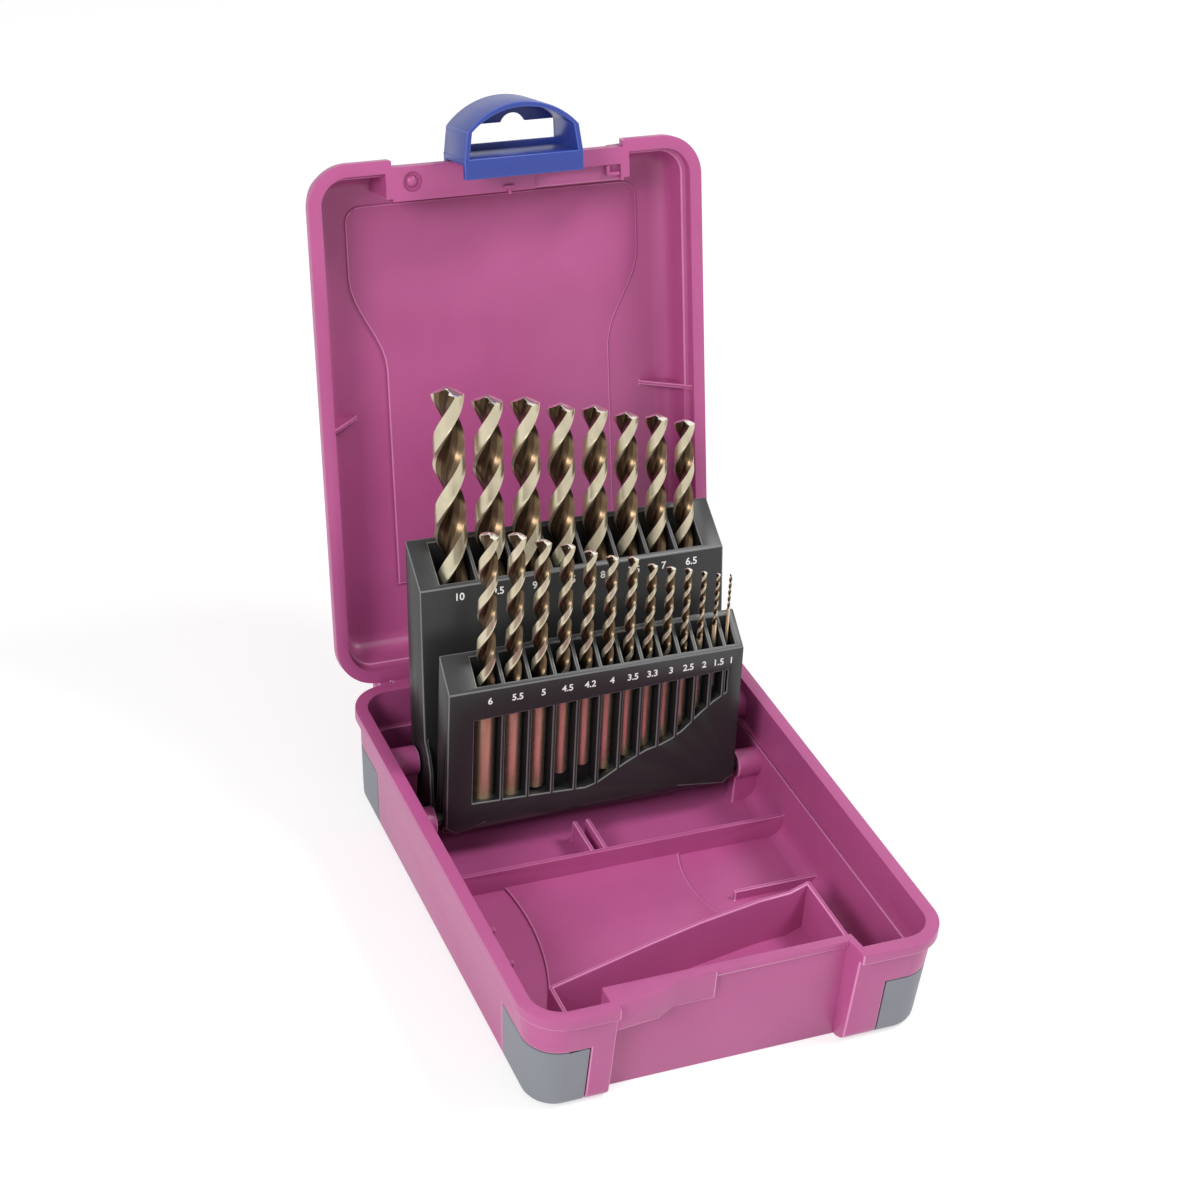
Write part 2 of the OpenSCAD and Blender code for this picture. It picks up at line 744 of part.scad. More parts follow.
// Window in the front rack, with a fin between each two bits
module window(row, web, shift) {
    back = front_t / 2 - front_face;
    difference() {
        translate([0, back, 0])
            rotate([90, 0, 0])
                linear_extrude(front_t)
                    polygon(concat(WINDOW_SILL, WINDOW_TOP));
        for (i = [0:len(row) - 2]) {
            x = shift + place_x(row, web, i) + (row[i][0] + web) / 2;
            box([x - fin_t / 2, back - front_t - 1, 0], [x + fin_t / 2, back + 1, front_edge]);
        }
    }
}

// Cheek beside the front rack, low on the rear rack's end
module cheek(s) {
    out = -rear_face - cheek_reach;
    inside = -rear_face + 1;
    translate([s > 0 ? rear_w / 2 - cheek_t : -rear_w / 2, 0, 0])
        rotate([90, 0, 90])
            linear_extrude(cheek_t)
                polygon([[inside, rear_base], [out + cheek_chamfer, rear_base],
                    [out, rear_base + cheek_chamfer], [out, CHEEK_TOP[0]],
                    [-rear_face - cheek_reach * 0.6, CHEEK_TOP[1]],
                    [-rear_face, CHEEK_TOP[2]], [inside, CHEEK_TOP[2]]]);
}

// Bore for a pivot pin in the side of a rack
module pin_bore(s, side) {
    x0 = s > 0 ? side - pin_in : -side - 1;
    bar(x0, x0 + pin_in + 1, 0, 0, pivot_d / 2 + grip_play);
}

module pivot_pin(s, side, pivot) {
    long = boss_x + pin_out - side + pin_in;
    x0 = s > 0 ? side - pin_in : -boss_x - pin_out;
    color(black) bar(x0, x0 + long, pivot[0], pivot[1], pivot_d / 2);
}

module rear_rack() {
    color(black)
        leant(rear_pivot_y, rear_pivot_z, rear_lean)
            difference() {
                union() {
                    rack(REAR_BITS, rear_web, 0, rear_w, rear_t, rear_face, rear_base, rear_edge);
                    for (s = [-1, 1])
                        cheek(s);
                }
                box([rear_end - rear_w / 2, -rear_face + rack_wall, rear_base - 1],
                    [rear_w / 2 - rear_end, rear_t - rear_face - rack_wall, trough_z]);
                for (s = [-1, 1])
                    pin_bore(s, rear_w / 2);
            }
}

module front_rack() {
    color(black)
        leant(front_pivot_y, front_pivot_z, front_lean)
            difference() {
                rack(FRONT_BITS, front_web, front_shift, front_w, front_t, front_face,
                    front_base, front_edge);
                window(FRONT_BITS, front_web, front_shift);
                for (s = [-1, 1])
                    pin_bore(s, front_w / 2);
            }
}

// Radius of the fluted part at angle a: two lands with a rounded flute after each
function flute_r(a, r) =
    let (b = a % 180, gap = 180 - land_angle)
    b < land_angle ? r : r - r * (1 - core_share) * pow(sin(180 * (b - land_angle) / gap), 0.6);

// Ring of n points: k is the flutes' share of their full depth, limit the largest radius
function drill_ring(r, k, limit, turn, z, n) =
    [for (i = [0:n - 1])
        let (a = 360 * i / n, q = min(limit, r - k * (r - flute_r(a, r))))
        [q * cos(a + turn), q * sin(a + turn), z]];

// Triangles between rings of n points, closed by a point at each end
function drill_faces(rings, n) = concat(
    [for (j = [0:rings - 2], i = [0:n - 1]) [j * n + i, (j + 1) * n + i, (j + 1) * n + (i + 1) % n]],
    [for (j = [0:rings - 2], i = [0:n - 1]) [j * n + i, (j + 1) * n + (i + 1) % n, j * n + (i + 1) % n]],
    [for (i = [0:n - 1]) [rings * n, i, (i + 1) % n]],
    [for (i = [0:n - 1]) [rings * n + 1, (rings - 1) * n + (i + 1) % n, (rings - 1) * n + i]]
);

// Twist drill standing on its shank
module drill(spec) {
    r = spec[0] / 2;
    long = spec[1];
    start = long - spec[2];
    tip = r / tan(point_angle / 2);
    n = r > 2 ? 22 : 14;
    turn = 360 * (spec[2] - tip) * tan(helix) / (PI * spec[0]);
    first = tip_phase - turn;
    slices = round(turn / RING_TURN);
    rise = (spec[2] - tip) / slices;
    rings = concat(
        [drill_ring(r, 0, r - shank_bevel * r, first, 0, n)],
        [drill_ring(r, 0, r, first, shank_bevel * r, n)],
        [drill_ring(r, 0, r, first, start, n)],
        [for (i = [1:slices])
            drill_ring(r, min(1, RUN_OUT * i), r, first + turn * i / slices, start + rise * i, n)],
        [for (t = TIP_STEPS) drill_ring(r, 1, r * t, tip_phase, long - tip * t, n)]
    );
    points = concat([for (ring = rings, p = ring) p], [[0, 0, 0], [0, 0, long]]);
    color(bronze) polyhedron(points = points, faces = drill_faces(len(rings), n));
}

module rear_bit(i) {
    leant(rear_pivot_y, rear_pivot_z, rear_lean)
        translate([place_x(REAR_BITS, rear_web, i), 0, rear_edge - REAR_BITS[i][3]])
            drill(REAR_BITS[i]);
}

module front_bit(i) {
    leant(front_pivot_y, front_pivot_z, front_lean)
        translate([front_shift + place_x(FRONT_BITS, front_web, i), front_t / 2 - front_face,
            front_edge - FRONT_BITS[i][3]])
            drill(FRONT_BITS[i]);
}

base_shell();
bumper(-1, -1);  // bumper_front_left
bumper(1, -1);  // bumper_front_right
bumper(-1, 1);  // bumper_rear_left
bumper(1, 1);  // bumper_rear_right
hinge_pin(-hinge_x);  // hinge_pin_left
hinge_pin(hinge_x);  // hinge_pin_right
lid_shell();
latch();
rear_rack();
pivot_pin(-1, rear_w / 2, PIVOTS[0]);  // rear_pivot_pin_left
pivot_pin(1, rear_w / 2, PIVOTS[0]);  // rear_pivot_pin_right
front_rack();
pivot_pin(-1, front_w / 2, PIVOTS[1]);  // front_pivot_pin_left
pivot_pin(1, front_w / 2, PIVOTS[1]);  // front_pivot_pin_right
for (i = [0:len(REAR_BITS) - 1])
    rear_bit(i);
for (i = [0:len(FRONT_BITS) - 1])
    front_bit(i);
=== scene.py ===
"""Drill bit case: the mouldings, latch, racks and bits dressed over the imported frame."""
import json
import logging
import math
from collections.abc import Callable, Iterator
from contextlib import contextmanager
from dataclasses import dataclass
from enum import Enum

import bmesh
import bpy
from mathutils import Matrix, Vector
from mathutils.bvhtree import BVHTree


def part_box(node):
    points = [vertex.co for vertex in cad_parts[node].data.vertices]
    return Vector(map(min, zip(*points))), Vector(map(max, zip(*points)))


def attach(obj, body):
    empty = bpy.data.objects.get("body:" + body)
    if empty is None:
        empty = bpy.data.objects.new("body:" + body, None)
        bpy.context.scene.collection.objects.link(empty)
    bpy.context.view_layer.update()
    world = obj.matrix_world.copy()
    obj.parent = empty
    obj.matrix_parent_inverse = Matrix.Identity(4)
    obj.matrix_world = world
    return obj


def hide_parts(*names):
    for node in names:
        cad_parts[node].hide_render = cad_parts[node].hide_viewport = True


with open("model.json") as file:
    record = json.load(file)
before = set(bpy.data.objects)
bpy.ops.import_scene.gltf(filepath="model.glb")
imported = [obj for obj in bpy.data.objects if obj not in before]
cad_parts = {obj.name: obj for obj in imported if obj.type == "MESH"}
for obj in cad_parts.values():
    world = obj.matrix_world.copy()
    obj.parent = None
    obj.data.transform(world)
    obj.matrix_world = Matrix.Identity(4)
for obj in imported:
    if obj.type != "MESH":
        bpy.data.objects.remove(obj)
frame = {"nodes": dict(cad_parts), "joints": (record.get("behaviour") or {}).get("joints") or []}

LOG = logging.getLogger("bit_case")
MM = 0.001
LID_OPEN = 105.0
BASE_H = 35.5
LID_Z = 35.8
# Vertices closer than this are one, and faces within this angle lie in one plane
MERGE = 0.015 * MM
FLAT = math.radians(0.6)
# Outer corners of this angle and more are rounded, and those above the second one, in degrees,
# keep their edge in the shading
SHARP = math.radians(35.0)
SHADE_SHARP = 40.0
# A rounding's vertex strays when its gap to the solid is over this share of the radius, or when more
# than this share of the gap points out of the solid
STRAY = 0.75
OUTSIDE = -0.2
# How near to a named height a vertex counts as at it
AT_HEIGHT = 0.02 * MM
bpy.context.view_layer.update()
JOINTS = {joint["name"]: joint for joint in frame["joints"]}

Colour = tuple[float, float, float]
MATERIALS: dict[str, bpy.types.Material] = {}


# Shader maths

class Value:
    """A shader socket that can be added, multiplied and compared like a number."""

    def __init__(self, shader: "Shader", socket: bpy.types.NodeSocket) -> None:
        """Wrap one output socket.

        Args:
            shader: The material under construction.
            socket: The output socket to wrap.
        """
        self.shader = shader
        self.socket = socket

    def _math(self, operation: str, *terms: "Value | float") -> "Value":
        """Return a Math node's result on the terms."""
        inputs = dict(enumerate(terms))
        return self.shader.node("ShaderNodeMath", {"operation": operation}, inputs)

    def __add__(self, other: "Value | float") -> "Value":
        """Return the sum."""
        return self._math("ADD", self, other)

    def __mul__(self, other: "Value | float") -> "Value":
        """Return the product."""
        return self._math("MULTIPLY", self, other)

    def __sub__(self, other: "Value | float") -> "Value":
        """Return the difference."""
        return self._math("SUBTRACT", self, other)

    def __rsub__(self, other: float) -> "Value":
        """Return a number minus this value."""
        return self._math("SUBTRACT", other, self)

    __radd__ = __add__
    __rmul__ = __mul__

    def above(self, edge: float) -> "Value":
        """Return 1 where the value lies above the edge, and 0 elsewhere."""
        return self._math("GREATER_THAN", self, edge)

    def greater(self, other: "Value") -> "Value":
        """Return the larger of two values."""
        return self._math("MAXIMUM", self, other)


class Shader:
    """A material under construction, on Object coordinates."""

    def __init__(self, name: str) -> None:
        """Start an empty material.

        Args:
            name: The material's name.
        """
        self.material = bpy.data.materials.new(name)
        self.material.use_nodes = True
        self.tree = self.material.node_tree
        self.tree.nodes.clear()
        self.output = self.tree.nodes.new("ShaderNodeOutputMaterial")

    def node(self, kind: str, settings: dict, inputs: dict, output: int | str = 0) -> Value:
        """Add one node.

        Args:
            kind: The node's type.
            settings: Its settings, set before its sockets.
            inputs: Values or links, by socket name or number.
            output: The output socket to return.

        Returns:
            The chosen output.
        """
        made = self.tree.nodes.new(kind)
        for key, setting in settings.items():
            setattr(made, key, setting)
        for key, term in inputs.items():
            if isinstance(term, Value):
                self.tree.links.new(term.socket, made.inputs[key])
            else:
                made.inputs[key].default_value = term
        return Value(self, made.outputs[output])

    def noise(self, scale: float, detail: float = 3.0, stretch: Colour = (1.0, 1.0, 1.0)) -> Value:
        """Return noise between 0 and 1.

        Args:
            scale: Cells per metre.
            detail: Octaves.
            stretch: Scale along each axis.

        Returns:
            The noise value.
        """
        place = self.node("ShaderNodeTexCoord", {}, {}, "Object")
        mapped = self.node("ShaderNodeMapping", {}, {"Vector": place, "Scale": stretch})
        settings = {"noise_dimensions": "3D"}
        return self.node("ShaderNodeTexNoise", settings, {"Vector": mapped, "Scale": scale, "Detail": detail})

    def blend(self, factor: Value, low: Colour, high: Colour) -> Value:
        """Return a colour between two, by a factor."""
        mix = self.tree.nodes.new("ShaderNodeMix")
        mix.data_type = "RGBA"
        share, first, second = (mix.inputs[place] for place in (0, 6, 7))
        self.tree.links.new(factor.socket, share)
        first.default_value = (*low, 1.0)
        second.default_value = (*high, 1.0)
        return Value(self, mix.outputs[2])

    def bump(self, height: Value, strength: float, distance: float) -> Value:
        """Return a normal raised by a height."""
        return self.node("ShaderNodeBump", {}, {"Height": height, "Strength": strength, "Distance": distance})

    def principled(self, **sockets: "Value | float | tuple") -> bpy.types.Material:
        """Finish the material with a Principled shader.

        Args:
            sockets: Socket values, with underscores for spaces.

        Returns:
            The finished material.
        """
        inputs = {key.replace("_", " "): value for key, value in sockets.items()}
        body = self.node("ShaderNodeBsdfPrincipled", {}, inputs)
        self.tree.links.new(body.socket, self.output.inputs["Surface"])
        return self.material


def linear(red: int, green: int, blue: int) -> Colour:
    """Return the linear colour of an 8-bit display colour."""
    def channel(value: int) -> float:
        """Return one channel's linear value."""
        share = value / 255
        return share / 12.92 if share <= 0.04045 else ((share + 0.055) / 1.055) ** 2.4
    return channel(red), channel(green), channel(blue)


@dataclass(frozen=True)
class MouldedPlastic:
    """Satin moulded plastic with flow mottling, a fine spark-eroded grain and faint scuffs."""

    name: str
    slot: str
    deep: Colour
    light: Colour
    roughness: float = 0.42
    grain: float = 0.12
    grain_scale: float = 2600.0

    def material(self) -> bpy.types.Material:
        """Return the finished material."""
        shader = Shader(self.name)
        flow = shader.noise(22.0, 3.0)
        cloud = shader.noise(90.0, 4.0)
        scuff = shader.noise(420.0, 6.0, (1.0, 0.3, 1.0))
        colour = shader.blend(flow * 0.65 + cloud * 0.35, self.deep, self.light)
        rough = self.roughness - 0.06 + cloud * 0.08 + scuff * 0.06
        height = shader.noise(self.grain_scale, 2.0) + scuff * 0.25
        normal = shader.bump(height, self.grain, 0.0001)
        return shader.principled(Base_Color=colour, Roughness=rough, Normal=normal, IOR=1.5)


@dataclass(frozen=True)
class GroundSteel:
    """Tempered high-speed steel with grinding marks."""

    name: str
    slot: str
    dark: Colour
    bright: Colour
    roughness: float
    metallic: float = 1.0
    marks: float = 0.1

    def material(self) -> bpy.types.Material:
        """Return the finished material."""
        shader = Shader(self.name)
        temper = shader.noise(130.0, 3.0)
        lines = shader.noise(2400.0, 3.0, (1.0, 1.0, 0.12))
        colour = shader.blend(temper * 0.7 + lines * 0.3, self.dark, self.bright)
        rough = self.roughness - 0.08 + lines * 0.16
        normal = shader.bump(lines, self.marks, 0.0001)
        return shader.principled(Base_Color=colour, Metallic=self.metallic, Roughness=rough, Normal=normal)


PINK = MouldedPlastic("pink_moulding", "pink_plastic", linear(166, 74, 127), linear(186, 90, 145), 0.36)
# Lighter, glossier pink for the rounded edges of the mouldings: painted highlights along the rims and ribs.
PINK_EDGE_HIGHLIGHT = MouldedPlastic("pink_edge_painted_highlight", "pink_plastic",
                           linear(196, 112, 160), linear(222, 146, 190), 0.3, 0.06)
GREY = MouldedPlastic("grey_bumper", "grey_plastic",
                      linear(116, 119, 126), linear(134, 137, 145), 0.5, 0.2, 1900.0)
BLUE = MouldedPlastic("blue_latch", "blue_plastic", linear(38, 56, 136), linear(54, 74, 156), 0.32)
# Lighter, glossier blue for the latch's rounded edges: painted highlights along them.
BLUE_EDGE_HIGHLIGHT = MouldedPlastic("blue_edge_painted_highlight", "blue_plastic",
                           linear(56, 76, 160), linear(78, 98, 180), 0.28, 0.06)
BLACK = MouldedPlastic("black_rack", "black_plastic", linear(31, 32, 32), linear(44, 44, 44), 0.38, 0.08)
# Much lighter grey for the racks' rounded edges: painted highlights along the fins and rims.
BLACK_EDGE_HIGHLIGHT = MouldedPlastic("black_edge_painted_highlight", "black_plastic",
                            linear(84, 85, 86), linear(122, 123, 124), 0.34, 0.04)
# Near-black copy of the rack plastic for the faces inside the racks: painted shade in the pockets, beside the
# lighter, lit black outside.
POCKET_SHADE = MouldedPlastic("black_pocket_painted_shade", "black_plastic", linear(5, 5, 6), linear(12, 12, 13), 0.6, 0.08)
WHITE = MouldedPlastic("white_print", "black_plastic",
                       linear(232, 232, 228), linear(246, 246, 242), 0.5, 0.05)
WIRE = GroundSteel("pin_wire", "pin_steel", linear(150, 152, 156), linear(196, 198, 202), 0.3)
LAND = GroundSteel("bit_land", "bit_steel", linear(166, 154, 128), linear(228, 219, 192), 0.32, 0.85)
# Darker steel for the flutes, painted shade in the hollows, and darker still for their roots, deeper painted
# shade.
FLUTE_SHADE = GroundSteel("bit_flute_painted_shade", "bit_steel", linear(74, 58, 42), linear(124, 104, 80), 0.3, 0.95, 0.15)
ROOT_SHADE = GroundSteel("bit_root_painted_shade", "bit_steel", linear(46, 33, 24), linear(92, 74, 54), 0.38, 0.95, 0.15)
# Near-white steel on the upward faces of the point: a painted glint.
POINT_GLINT = GroundSteel("bit_point_painted_glint", "bit_steel", linear(232, 226, 210), linear(250, 247, 238), 0.2, 0.9)
# The shanks' tan steel, made lighter than the lands as painted highlight against the dark pockets.
SHANK_LIT = GroundSteel("bit_shank_painted_highlight", "bit_steel", linear(222, 190, 146), linear(250, 228, 188), 0.3, 0.75)


# Modelling

def take(piece: bpy.types.Object) -> None:
    """Make one object the only selected and the active one."""
    bpy.ops.object.select_all(action="DESELECT")
    piece.select_set(True)
    bpy.context.view_layer.objects.active = piece


@contextmanager
def editing(piece: bpy.types.Object, everything: bool = False) -> Iterator[bmesh.types.BMesh]:
    """Open a piece in edit mode.

    Args:
        piece: The object.
        everything: Whether all of it starts selected.

    Yields:
        The edit mesh.
    """
    take(piece)
    bpy.ops.object.mode_set(mode="EDIT")
    bpy.ops.mesh.select_all(action="SELECT" if everything else "DESELECT")
    yield bmesh.from_edit_mesh(piece.data)
    bpy.ops.object.mode_set(mode="OBJECT")


def pick_faces(piece: bpy.types.Object, mesh: bmesh.types.BMesh,
               test: Callable[[Vector, Vector], bool]) -> int:
    """Select the faces whose middle and normal pass a test.

    Args:
        piece: The object in edit mode.
        mesh: Its edit mesh.
        test: Takes a face's middle and its normal.

    Returns:
        How many faces were picked.
    """
    bpy.ops.mesh.select_all(action="DESELECT")
    count = 0
    for face in mesh.faces:
        if test(face.calc_center_median(), face.normal):
            face.select_set(True)
            count += 1
    bmesh.update_edit_mesh(piece.data)
    return count


def finish_with(piece: bpy.types.Object, kind: str, **settings: object) -> None:
    """Add one modifier and apply it.

    Args:
        piece: The object.
        kind: The modifier's type.
        settings: Its settings.
    """
    modifier = piece.modifiers.new(kind.title(), kind)
    for key, setting in settings.items():
        setattr(modifier, key, setting)
    take(piece)
    bpy.ops.object.modifier_apply(modifier=modifier.name)


def smooth(piece: bpy.types.Object, degrees: float = 32.0) -> None:
    """Shade a piece smooth, with edges sharper than the angle kept."""
    take(piece)
    bpy.ops.object.shade_smooth_by_angle(angle=math.radians(degrees))


def twin(node: str, name: str) -> bpy.types.Object:
    """Copy a node's solid as one clean shell of flat faces.

    Args:
        node: The node to copy.
        name: The new piece's name.

    Returns:
        The copy.
    """
    piece = bpy.data.objects.new(name, frame["nodes"][node].data.copy())
    bpy.context.scene.collection.objects.link(piece)
    piece.data.materials.clear()
    with editing(piece, everything=True):
        bpy.ops.mesh.customdata_custom_splitnormals_clear()
        bpy.ops.mesh.remove_doubles(threshold=MERGE)
        bpy.ops.mesh.dissolve_limited(angle_limit=FLAT)
    return piece


def pick_edges(piece: bpy.types.Object, mesh: bmesh.types.BMesh, test: Callable[[Vector], bool]) -> int:
    """Select the edges whose two ends pass a test.

    Args:
        piece: The object in edit mode.
        mesh: Its edit mesh.
        test: Takes an end's place.

    Returns:
        How many edges were picked.
    """
    bpy.ops.mesh.select_all(action="DESELECT")
    count = 0
    for edge in mesh.edges:
        if all(test(vertex.co) for vertex in edge.verts) and edge.calc_face_angle(0) > 0.6:
            edge.select_set(True)
            count += 1
    bmesh.update_edit_mesh(piece.data)
    return count


def round_edges(piece: bpy.types.Object, radius: float, test: Callable[[Vector], bool],
                segments: int = 3) -> None:
    """Round the edges whose ends pass a test.

    Args:
        piece: The object.
        radius: The rounding in millimetres.
        test: Takes an end's place.
        segments: Faces across each rounding.
    """
    with editing(piece) as mesh:
        picked = pick_edges(piece, mesh, test)
        if picked:
            bpy.ops.mesh.bevel(offset=radius * MM, segments=segments, affect="EDGES", clamp_overlap=True)
            bpy.ops.mesh.select_all(action="SELECT")
            bpy.ops.mesh.remove_doubles(threshold=MERGE)
    LOG.info("%s has %d edges rounded by %.2f mm", piece.name, picked, radius)


def mark_corners(piece: bpy.types.Object) -> None:
    """Give a piece's outer corners the weight that the rounding goes by, and its inner ones none."""
    weights = piece.data.attributes.new("bevel_weight_edge", "FLOAT", "EDGE")
    mesh = bmesh.new()
    mesh.from_mesh(piece.data)
    outer = [float(edge.is_convex and edge.calc_face_angle(0.0) > SHARP) for edge in mesh.edges]
    mesh.free()
    weights.data.foreach_set("value", outer)


def soften(piece: bpy.types.Object, radius: float, segments: int = 2,
           highlighted: tuple["MouldedPlastic", "MouldedPlastic"] | None = None) -> None:
    """Round a piece's outer corners, and pull back onto the solid what strays from it.

    Args:
        piece: The object.
        radius: The rounding in millimetres.
        segments: Faces across each rounding.
        highlighted: The finish of the faces and the lighter, glossier one of the rounded edges, painted
            highlights, where they differ.
    """
    for finish in highlighted or ():
        piece.data.materials.append(MATERIALS[finish.name])
    with editing(piece, everything=True):
        bpy.ops.mesh.quads_convert_to_tris(quad_method="BEAUTY", ngon_method="BEAUTY")
    mark_corners(piece)
    sharp = BVHTree.FromPolygons([vertex.co.copy() for vertex in piece.data.vertices],
                                 [tuple(face.vertices) for face in piece.data.polygons])
    # With a second finish, the rounded edges take it as painted highlights.
    finish_with(piece, "BEVEL", width=radius * MM, segments=segments, limit_method="WEIGHT",
                harden_normals=False, material=1 if highlighted else -1, use_clamp_overlap=False)
    for vertex in piece.data.vertices:
        near, normal, _, gap = sharp.find_nearest(vertex.co)
        if gap > STRAY * radius * MM or (vertex.co - near).dot(normal) > OUTSIDE * gap:
            vertex.co = near
    smooth(piece, SHADE_SHARP)


def place(piece: bpy.types.Object, matrix: Matrix) -> None:
    """Move a piece's mesh into place and leave its object at the origin."""
    piece.data.transform(matrix)
    piece.matrix_world = Matrix.Identity(4)


def dress(piece: bpy.types.Object, body: str, finish: MouldedPlastic | GroundSteel, *nodes: str) -> None:
    """Give a piece its finish, its body and the nodes that it stands for.

    Args:
        piece: The object.
        body: The body that it rides on.
        finish: Its finish.
        nodes: The nodes that it replaces.
    """
    if not piece.data.materials:
        piece.data.materials.append(MATERIALS[finish.name])
    if nodes:
        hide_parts(*nodes)
    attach(piece, body)
    LOG.info("%s rides on %s with %d faces", piece.name, body, len(piece.data.polygons))


def refinish(node: str, finish: MouldedPlastic | GroundSteel) -> None:
    """Give a node that stays its finish."""
    slots = frame["nodes"][node].material_slots
    for slot in slots:
        slot.material = MATERIALS[finish.name]
    LOG.info("%s keeps its solid", node)


def opened() -> Matrix:
    """Return the turn that takes a place in the shut lid to the open lid."""
    hinge = Vector(JOINTS["lid_hinge"]["pos_m"])
    turn = Matrix.Rotation(math.radians(-LID_OPEN), 4, "X")
    return Matrix.Translation(hinge) @ turn @ Matrix.Translation(-hinge)


def block(name: str, low: tuple[float, float, float], high: tuple[float, float, float]) -> bpy.types.Object:
    """Return a box between two corners, in millimetres.

    Args:
        name: The piece's name.
        low: Its low corner.
        high: Its high corner.

    Returns:
        The box.
    """
    bpy.ops.object.select_all(action="DESELECT")
    bpy.ops.mesh.primitive_cube_add(size=1.0)
    piece = bpy.context.object
    piece.name = name
    corner, far = Vector(low) * MM, Vector(high) * MM
    place(piece, Matrix.Translation((corner + far) / 2) @ Matrix.Diagonal((*(far - corner), 1)))
    return piece


def mix_finishes() -> None:
    """Make each finish's material once."""
    for finish in (PINK, PINK_EDGE_HIGHLIGHT, GREY, BLUE, BLUE_EDGE_HIGHLIGHT, BLACK, BLACK_EDGE_HIGHLIGHT, POCKET_SHADE, WHITE, WIRE, LAND,
                   FLUTE_SHADE, ROOT_SHADE, POINT_GLINT, SHANK_LIT):
        MATERIALS[finish.name] = finish.material()


class Row(Enum):
    """The two rows of bits, each with its rack, its joint and its lean."""

    REAR = ("rear_rack", "rear_rack_fold", 11.0)
    FRONT = ("front_rack", "front_rack_fold", 4.0)

    @property
    def body(self) -> str:
        """The body that the row rides on."""
        return self.value[0]

    @property
    def lean(self) -> float:
        """The lean behind upright, in radians."""
        return math.radians(self.value[2])

    @property
    def matrix(self) -> Matrix:
        """The place of the rack's own axes: the pivot, leant back."""
        pivot = Vector(JOINTS[self.value[1]]["pos_m"])
        return Matrix.Translation(pivot) @ Matrix.Rotation(-self.lean, 4, "X")


@dataclass
class CaseShells:
    """The base, its corner bumpers, the lid and the hinge pins."""

    edge: float = 0.4
    rim_edge: float = 0.85
    bumper_edge: float = 0.35
    fitting_edge: float = 0.25
    dimple_at: tuple[float, float] = (-31.6, -76.2)
    dimple_radius: float = 3.1
    dimple_depth: float = 1.2
    dome_radius: float = 2.2
    dome_middle: float = 2.1
    dome_cut: float = 1.3

    def build(self) -> None:
        """Build and dress every moulding of the case."""
        base = twin("base_shell", "base_moulding")
        round_edges(base, self.rim_edge, lambda end: abs(end.z - BASE_H * MM) < AT_HEIGHT)
        soften(base, self.edge, highlighted=(PINK, PINK_EDGE_HIGHLIGHT))
        dress(base, "base", PINK, "base_shell")
        lid = twin("lid_shell", "lid_moulding")
        self._dimple(lid)
        shut = opened().inverted()
        round_edges(lid, self.rim_edge, lambda end: abs((shut @ end).z - LID_Z * MM) < AT_HEIGHT)
        soften(lid, self.edge, highlighted=(PINK, PINK_EDGE_HIGHLIGHT))
        dress(lid, "lid", PINK, "lid_shell")
        self._fittings()
        for side in ("front_left", "front_right", "rear_left", "rear_right"):
            bumper = twin(f"bumper_{side}", f"soft_corner_{side}")
            soften(bumper, self.bumper_edge)
            dress(bumper, "base", GREY, f"bumper_{side}")
        for side in ("left", "right"):
            refinish(f"hinge_pin_{side}", WIRE)

    def _dimple(self, lid: bpy.types.Object) -> None:
        """Sink a round dimple into the latch rail, with a low dome in it."""
        spot = Vector((*self.dimple_at, LID_Z)) * MM
        bpy.ops.object.select_all(action="DESELECT")
        bpy.ops.mesh.primitive_cylinder_add(vertices=48, radius=self.dimple_radius * MM,
                                            depth=2 * self.dimple_depth * MM, location=spot)
        cutter = bpy.context.object
        bpy.ops.object.transform_apply(location=True)
        place(cutter, opened())
        finish_with(lid, "BOOLEAN", operation="DIFFERENCE", object=cutter, solver="EXACT")
        bpy.data.objects.remove(cutter)
        bpy.ops.object.select_all(action="DESELECT")
        bpy.ops.mesh.primitive_uv_sphere_add(segments=32, ring_count=16, radius=self.dome_radius * MM,
                                             location=spot + Vector((0, 0, self.dome_middle * MM)))
        dome = bpy.context.object
        dome.name = "rail_dome"
        bpy.ops.object.transform_apply(location=True)
        with editing(dome, everything=True):
            bpy.ops.mesh.bisect(plane_co=spot + Vector((0, 0, self.dome_cut * MM)), plane_no=(0, 0, 1),
                                use_fill=True, clear_outer=True)
        place(dome, opened())
        smooth(dome, 60.0)
        dress(dome, "lid", PINK)

    def _fittings(self) -> None:
        """Add the small bracket and the tab at the latch rail."""
        pieces = (
            block("rail_bracket_post", (32.4, -75.5, LID_Z + 0.05), (33.5, -72.2, LID_Z + 1.7)),
            block("rail_bracket_bar", (33.2, -73.3, LID_Z + 0.05), (36.9, -72.2, LID_Z + 1.7)),
            block("rail_tab", (-2.2, -72.5, LID_Z - 0.9), (1.4, -71.5, LID_Z + 0.4)),
            block("rail_tab_stem", (-0.9, -71.6, LID_Z - 0.7), (0.1, -69.6, LID_Z + 0.4)),
        )
        for piece in pieces:
            place(piece, opened())
            soften(piece, self.fitting_edge)
            dress(piece, "lid", PINK)


@dataclass
class Latch:
    """The sliding latch with its hanging loop."""

    edge: float = 0.34

    def build(self) -> None:
        """Build and dress the latch."""
        latch = twin("latch", "hanging_latch")
        soften(latch, self.edge, segments=3, highlighted=(BLUE, BLUE_EDGE_HIGHLIGHT))
        dress(latch, "latch", BLUE, "latch")


